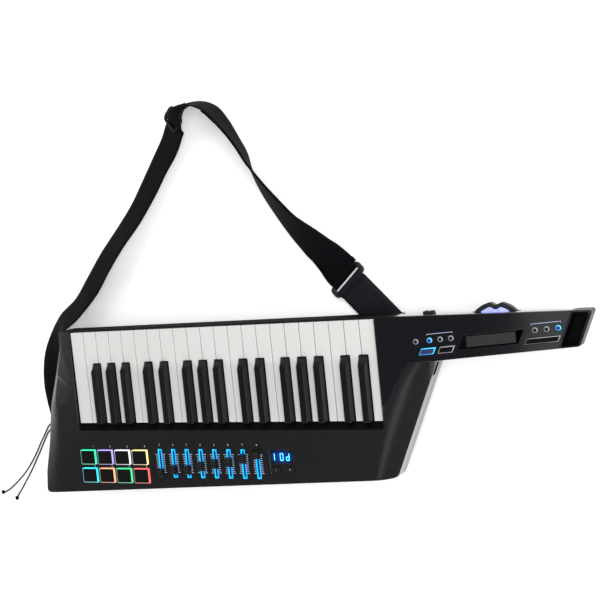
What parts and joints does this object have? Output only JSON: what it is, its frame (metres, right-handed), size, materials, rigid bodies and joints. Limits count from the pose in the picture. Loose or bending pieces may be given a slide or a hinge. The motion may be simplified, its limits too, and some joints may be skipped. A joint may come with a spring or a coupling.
{
  "type": "keytar",
  "caption": "Shoulder-strap keyboard with a slanted body, a handle neck with ribbon, pitch wheel and buttons, drum pads, faders and a display, lying on its back.",
  "frame": {"origin": "on the flat back, on the middle line of the keyboard, 125 mm behind the fronts of the white keys", "axes": "+X along the keys towards the neck, +Y across the keys towards the player's edge, +Z out of the front"},
  "size_m": [1.0453, 0.615, 0.0695],
  "materials": {
    "housing_black": "satin moulded plastic",
    "gloss_panel": "high gloss",
    "end_cap_grey": "satin silver paint",
    "chassis_metal": "folded sheet, plain",
    "board_green": "solder mask",
    "webbing_black": "woven nylon",
    "tab_black": "stitched webbing end",
    "lace_black": "braided cord",
    "wheel_rubber": "moulded rubber",
    "rocker_rubber": "moulded rubber",
    "pad_silicone": "silicone over lit sides",
    "button_silicone": "silicone",
    "fader_black": "satin",
    "key_white": "polished",
    "key_black": "satin"
  },
  "bodies": {
    "housing": {"back_shell": "housing_black", "front_shell": "housing_black", "neck_panel": "gloss_panel", "neck_end_cap": "end_cap_grey", "keybed_chassis": "chassis_metal", "main_board": "board_green", "strap_webbing": "webbing_black", "strap_tab": "tab_black", "front_lace": "lace_black", "back_lace": "lace_black"},
    "pitch_wheel": {"pitch_wheel": "wheel_rubber"},
    "octave_rocker": {"octave_rocker": "rocker_rubber"},
    "fader_cap_1": {"fader_cap_1": "fader_black"},
    "fader_cap_2": {"fader_cap_2": "fader_black"},
    "fader_cap_3": {"fader_cap_3": "fader_black"},
    "fader_cap_4": {"fader_cap_4": "fader_black"},
    "fader_cap_5": {"fader_cap_5": "fader_black"},
    "fader_cap_6": {"fader_cap_6": "fader_black"},
    "fader_cap_7": {"fader_cap_7": "fader_black"},
    "fader_cap_8": {"fader_cap_8": "fader_black"},
    "pad_mat": {"pad_mat": "pad_silicone"},
    "display_buttons": {"display_buttons": "button_silicone"},
    "neck_keypad": {"neck_keypad": "button_silicone"},
    "white_key_01": {"white_key_01": "key_white"},
    "white_key_02": {"white_key_02": "key_white"},
    "white_key_03": {"white_key_03": "key_white"},
    "white_key_04": {"white_key_04": "key_white"},
    "white_key_05": {"white_key_05": "key_white"},
    "white_key_06": {"white_key_06": "key_white"},
    "white_key_07": {"white_key_07": "key_white"},
    "white_key_08": {"white_key_08": "key_white"},
    "white_key_09": {"white_key_09": "key_white"},
    "white_key_10": {"white_key_10": "key_white"},
    "white_key_11": {"white_key_11": "key_white"},
    "white_key_12": {"white_key_12": "key_white"},
    "white_key_13": {"white_key_13": "key_white"},
    "white_key_14": {"white_key_14": "key_white"},
    "white_key_15": {"white_key_15": "key_white"},
    "white_key_16": {"white_key_16": "key_white"},
    "white_key_17": {"white_key_17": "key_white"},
    "white_key_18": {"white_key_18": "key_white"},
    "white_key_19": {"white_key_19": "key_white"},
    "white_key_20": {"white_key_20": "key_white"},
    "white_key_21": {"white_key_21": "key_white"},
    "white_key_22": {"white_key_22": "key_white"},
    "black_key_01": {"black_key_01": "key_black"},
    "black_key_02": {"black_key_02": "key_black"},
    "black_key_03": {"black_key_03": "key_black"},
    "black_key_04": {"black_key_04": "key_black"},
    "black_key_05": {"black_key_05": "key_black"},
    "black_key_06": {"black_key_06": "key_black"},
    "black_key_07": {"black_key_07": "key_black"},
    "black_key_08": {"black_key_08": "key_black"},
    "black_key_09": {"black_key_09": "key_black"},
    "black_key_10": {"black_key_10": "key_black"},
    "black_key_11": {"black_key_11": "key_black"},
    "black_key_12": {"black_key_12": "key_black"},
    "black_key_13": {"black_key_13": "key_black"},
    "black_key_14": {"black_key_14": "key_black"},
    "black_key_15": {"black_key_15": "key_black"}
  },
  "joints": [
    {"name": "pitch_wheel_turn", "type": "hinge", "parent": "housing", "child": "pitch_wheel", "pos_m": [0.431, 0.09992, 0.04], "axis": [0, 0, 1], "range_deg": [-35, 35], "stiffness_Nm_per_rad": 0.05},
    {"name": "octave_rocker_tilt", "type": "hinge", "parent": "housing", "child": "octave_rocker", "pos_m": [0.3362, 0.12221, 0.04], "axis": [0, 0, 1], "range_deg": [-8, 8], "stiffness_Nm_per_rad": 0.3},
    {"name": "fader_slide_1", "type": "slide", "parent": "housing", "child": "fader_cap_1", "axis": [0, 1, 0], "range_m": [0, 0.03]},
    {"name": "fader_slide_2", "type": "slide", "parent": "housing", "child": "fader_cap_2", "axis": [0, 1, 0], "range_m": [-0.0057, 0.0243]},
    {"name": "fader_slide_3", "type": "slide", "parent": "housing", "child": "fader_cap_3", "axis": [0, 1, 0], "range_m": [-0.0057, 0.0243]},
    {"name": "fader_slide_4", "type": "slide", "parent": "housing", "child": "fader_cap_4", "axis": [0, 1, 0], "range_m": [-0.01125, 0.01875]},
    {"name": "fader_slide_5", "type": "slide", "parent": "housing", "child": "fader_cap_5", "axis": [0, 1, 0], "range_m": [-0.01485, 0.01515]},
    {"name": "fader_slide_6", "type": "slide", "parent": "housing", "child": "fader_cap_6", "axis": [0, 1, 0], "range_m": [-0.0177, 0.0123]},
    {"name": "fader_slide_7", "type": "slide", "parent": "housing", "child": "fader_cap_7", "axis": [0, 1, 0], "range_m": [-0.0228, 0.0072]},
    {"name": "fader_slide_8", "type": "slide", "parent": "housing", "child": "fader_cap_8", "axis": [0, 1, 0], "range_m": [-0.03, 0]},
    {"name": "pads_press", "type": "slide", "parent": "housing", "child": "pad_mat", "axis": [0, 0, -1], "range_m": [0, 0.0012], "stiffness_N_per_m": 3000, "springref_m": -0.001},
    {"name": "display_buttons_press", "type": "slide", "parent": "housing", "child": "display_buttons", "axis": [0, 0, -1], "range_m": [0, 0.0008], "stiffness_N_per_m": 1500, "springref_m": -0.001},
    {"name": "neck_keypad_press", "type": "slide", "parent": "housing", "child": "neck_keypad", "axis": [0, 0, -1], "range_m": [0, 0.0008], "stiffness_N_per_m": 1500, "springref_m": -0.001},
    {"name": "white_key_01_press", "type": "hinge", "parent": "housing", "child": "white_key_01", "pos_m": [0.2478, -0.062, 0.038], "axis": [-1, 0, 0], "range_deg": [0, 3.1], "stiffness_Nm_per_rad": 0.25, "springref_deg": -20.05},
    {"name": "white_key_02_press", "type": "hinge", "parent": "housing", "child": "white_key_02", "pos_m": [0.2242, -0.062, 0.038], "axis": [-1, 0, 0], "range_deg": [0, 3.1], "stiffness_Nm_per_rad": 0.25, "springref_deg": -20.05},
    {"name": "white_key_03_press", "type": "hinge", "parent": "housing", "child": "white_key_03", "pos_m": [0.2006, -0.062, 0.038], "axis": [-1, 0, 0], "range_deg": [0, 3.1], "stiffness_Nm_per_rad": 0.25, "springref_deg": -20.05},
    {"name": "white_key_04_press", "type": "hinge", "parent": "housing", "child": "white_key_04", "pos_m": [0.177, -0.062, 0.038], "axis": [-1, 0, 0], "range_deg": [0, 3.1], "stiffness_Nm_per_rad": 0.25, "springref_deg": -20.05},
    {"name": "white_key_05_press", "type": "hinge", "parent": "housing", "child": "white_key_05", "pos_m": [0.1534, -0.062, 0.038], "axis": [-1, 0, 0], "range_deg": [0, 3.1], "stiffness_Nm_per_rad": 0.25, "springref_deg": -20.05},
    {"name": "white_key_06_press", "type": "hinge", "parent": "housing", "child": "white_key_06", "pos_m": [0.1298, -0.062, 0.038], "axis": [-1, 0, 0], "range_deg": [0, 3.1], "stiffness_Nm_per_rad": 0.25, "springref_deg": -20.05},
    {"name": "white_key_07_press", "type": "hinge", "parent": "housing", "child": "white_key_07", "pos_m": [0.1062, -0.062, 0.038], "axis": [-1, 0, 0], "range_deg": [0, 3.1], "stiffness_Nm_per_rad": 0.25, "springref_deg": -20.05},
    {"name": "white_key_08_press", "type": "hinge", "parent": "housing", "child": "white_key_08", "pos_m": [0.0826, -0.062, 0.038], "axis": [-1, 0, 0], "range_deg": [0, 3.1], "stiffness_Nm_per_rad": 0.25, "springref_deg": -20.05},
    {"name": "white_key_09_press", "type": "hinge", "parent": "housing", "child": "white_key_09", "pos_m": [0.059, -0.062, 0.038], "axis": [-1, 0, 0], "range_deg": [0, 3.1], "stiffness_Nm_per_rad": 0.25, "springref_deg": -20.05},
    {"name": "white_key_10_press", "type": "hinge", "parent": "housing", "child": "white_key_10", "pos_m": [0.0354, -0.062, 0.038], "axis": [-1, 0, 0], "range_deg": [0, 3.1], "stiffness_Nm_per_rad": 0.25, "springref_deg": -20.05},
    {"name": "white_key_11_press", "type": "hinge", "parent": "housing", "child": "white_key_11", "pos_m": [0.0118, -0.062, 0.038], "axis": [-1, 0, 0], "range_deg": [0, 3.1], "stiffness_Nm_per_rad": 0.25, "springref_deg": -20.05},
    {"name": "white_key_12_press", "type": "hinge", "parent": "housing", "child": "white_key_12", "pos_m": [-0.0118, -0.062, 0.038], "axis": [-1, 0, 0], "range_deg": [0, 3.1], "stiffness_Nm_per_rad": 0.25, "springref_deg": -20.05},
    {"name": "white_key_13_press", "type": "hinge", "parent": "housing", "child": "white_key_13", "pos_m": [-0.0354, -0.062, 0.038], "axis": [-1, 0, 0], "range_deg": [0, 3.1], "stiffness_Nm_per_rad": 0.25, "springref_deg": -20.05},
    {"name": "white_key_14_press", "type": "hinge", "parent": "housing", "child": "white_key_14", "pos_m": [-0.059, -0.062, 0.038], "axis": [-1, 0, 0], "range_deg": [0, 3.1], "stiffness_Nm_per_rad": 0.25, "springref_deg": -20.05},
    {"name": "white_key_15_press", "type": "hinge", "parent": "housing", "child": "white_key_15", "pos_m": [-0.0826, -0.062, 0.038], "axis": [-1, 0, 0], "range_deg": [0, 3.1], "stiffness_Nm_per_rad": 0.25, "springref_deg": -20.05},
    {"name": "white_key_16_press", "type": "hinge", "parent": "housing", "child": "white_key_16", "pos_m": [-0.1062, -0.062, 0.038], "axis": [-1, 0, 0], "range_deg": [0, 3.1], "stiffness_Nm_per_rad": 0.25, "springref_deg": -20.05},
    {"name": "white_key_17_press", "type": "hinge", "parent": "housing", "child": "white_key_17", "pos_m": [-0.1298, -0.062, 0.038], "axis": [-1, 0, 0], "range_deg": [0, 3.1], "stiffness_Nm_per_rad": 0.25, "springref_deg": -20.05},
    {"name": "white_key_18_press", "type": "hinge", "parent": "housing", "child": "white_key_18", "pos_m": [-0.1534, -0.062, 0.038], "axis": [-1, 0, 0], "range_deg": [0, 3.1], "stiffness_Nm_per_rad": 0.25, "springref_deg": -20.05},
    {"name": "white_key_19_press", "type": "hinge", "parent": "housing", "child": "white_key_19", "pos_m": [-0.177, -0.062, 0.038], "axis": [-1, 0, 0], "range_deg": [0, 3.1], "stiffness_Nm_per_rad": 0.25, "springref_deg": -20.05},
    {"name": "white_key_20_press", "type": "hinge", "parent": "housing", "child": "white_key_20", "pos_m": [-0.2006, -0.062, 0.038], "axis": [-1, 0, 0], "range_deg": [0, 3.1], "stiffness_Nm_per_rad": 0.25, "springref_deg": -20.05},
    {"name": "white_key_21_press", "type": "hinge", "parent": "housing", "child": "white_key_21", "pos_m": [-0.2242, -0.062, 0.038], "axis": [-1, 0, 0], "range_deg": [0, 3.1], "stiffness_Nm_per_rad": 0.25, "springref_deg": -20.05},
    {"name": "white_key_22_press", "type": "hinge", "parent": "housing", "child": "white_key_22", "pos_m": [-0.2478, -0.062, 0.038], "axis": [-1, 0, 0], "range_deg": [0, 3.1], "stiffness_Nm_per_rad": 0.25, "springref_deg": -20.05},
    {"name": "black_key_01_press", "type": "hinge", "parent": "housing", "child": "black_key_01", "pos_m": [0.23836, -0.062, 0.038], "axis": [-1, 0, 0], "range_deg": [0, 3.1], "stiffness_Nm_per_rad": 0.25, "springref_deg": -20.05},
    {"name": "black_key_02_press", "type": "hinge", "parent": "housing", "child": "black_key_02", "pos_m": [0.21004, -0.062, 0.038], "axis": [-1, 0, 0], "range_deg": [0, 3.1], "stiffness_Nm_per_rad": 0.25, "springref_deg": -20.05},
    {"name": "black_key_03_press", "type": "hinge", "parent": "housing", "child": "black_key_03", "pos_m": [0.16858, -0.062, 0.038], "axis": [-1, 0, 0], "range_deg": [0, 3.1], "stiffness_Nm_per_rad": 0.25, "springref_deg": -20.05},
    {"name": "black_key_04_press", "type": "hinge", "parent": "housing", "child": "black_key_04", "pos_m": [0.1416, -0.062, 0.038], "axis": [-1, 0, 0], "range_deg": [0, 3.1], "stiffness_Nm_per_rad": 0.25, "springref_deg": -20.05},
    {"name": "black_key_05_press", "type": "hinge", "parent": "housing", "child": "black_key_05", "pos_m": [0.11463, -0.062, 0.038], "axis": [-1, 0, 0], "range_deg": [0, 3.1], "stiffness_Nm_per_rad": 0.25, "springref_deg": -20.05},
    {"name": "black_key_06_press", "type": "hinge", "parent": "housing", "child": "black_key_06", "pos_m": [0.07316, -0.062, 0.038], "axis": [-1, 0, 0], "range_deg": [0, 3.1], "stiffness_Nm_per_rad": 0.25, "springref_deg": -20.05},
    {"name": "black_key_07_press", "type": "hinge", "parent": "housing", "child": "black_key_07", "pos_m": [0.04484, -0.062, 0.038], "axis": [-1, 0, 0], "range_deg": [0, 3.1], "stiffness_Nm_per_rad": 0.25, "springref_deg": -20.05},
    {"name": "black_key_08_press", "type": "hinge", "parent": "housing", "child": "black_key_08", "pos_m": [0.00337, -0.062, 0.038], "axis": [-1, 0, 0], "range_deg": [0, 3.1], "stiffness_Nm_per_rad": 0.25, "springref_deg": -20.05},
    {"name": "black_key_09_press", "type": "hinge", "parent": "housing", "child": "black_key_09", "pos_m": [-0.0236, -0.062, 0.038], "axis": [-1, 0, 0], "range_deg": [0, 3.1], "stiffness_Nm_per_rad": 0.25, "springref_deg": -20.05},
    {"name": "black_key_10_press", "type": "hinge", "parent": "housing", "child": "black_key_10", "pos_m": [-0.05058, -0.062, 0.038], "axis": [-1, 0, 0], "range_deg": [0, 3.1], "stiffness_Nm_per_rad": 0.25, "springref_deg": -20.05},
    {"name": "black_key_11_press", "type": "hinge", "parent": "housing", "child": "black_key_11", "pos_m": [-0.09204, -0.062, 0.038], "axis": [-1, 0, 0], "range_deg": [0, 3.1], "stiffness_Nm_per_rad": 0.25, "springref_deg": -20.05},
    {"name": "black_key_12_press", "type": "hinge", "parent": "housing", "child": "black_key_12", "pos_m": [-0.12036, -0.062, 0.038], "axis": [-1, 0, 0], "range_deg": [0, 3.1], "stiffness_Nm_per_rad": 0.25, "springref_deg": -20.05},
    {"name": "black_key_13_press", "type": "hinge", "parent": "housing", "child": "black_key_13", "pos_m": [-0.16182, -0.062, 0.038], "axis": [-1, 0, 0], "range_deg": [0, 3.1], "stiffness_Nm_per_rad": 0.25, "springref_deg": -20.05},
    {"name": "black_key_14_press", "type": "hinge", "parent": "housing", "child": "black_key_14", "pos_m": [-0.1888, -0.062, 0.038], "axis": [-1, 0, 0], "range_deg": [0, 3.1], "stiffness_Nm_per_rad": 0.25, "springref_deg": -20.05},
    {"name": "black_key_15_press", "type": "hinge", "parent": "housing", "child": "black_key_15", "pos_m": [-0.21577, -0.062, 0.038], "axis": [-1, 0, 0], "range_deg": [0, 3.1], "stiffness_Nm_per_rad": 0.25, "springref_deg": -20.05}
  ]
}
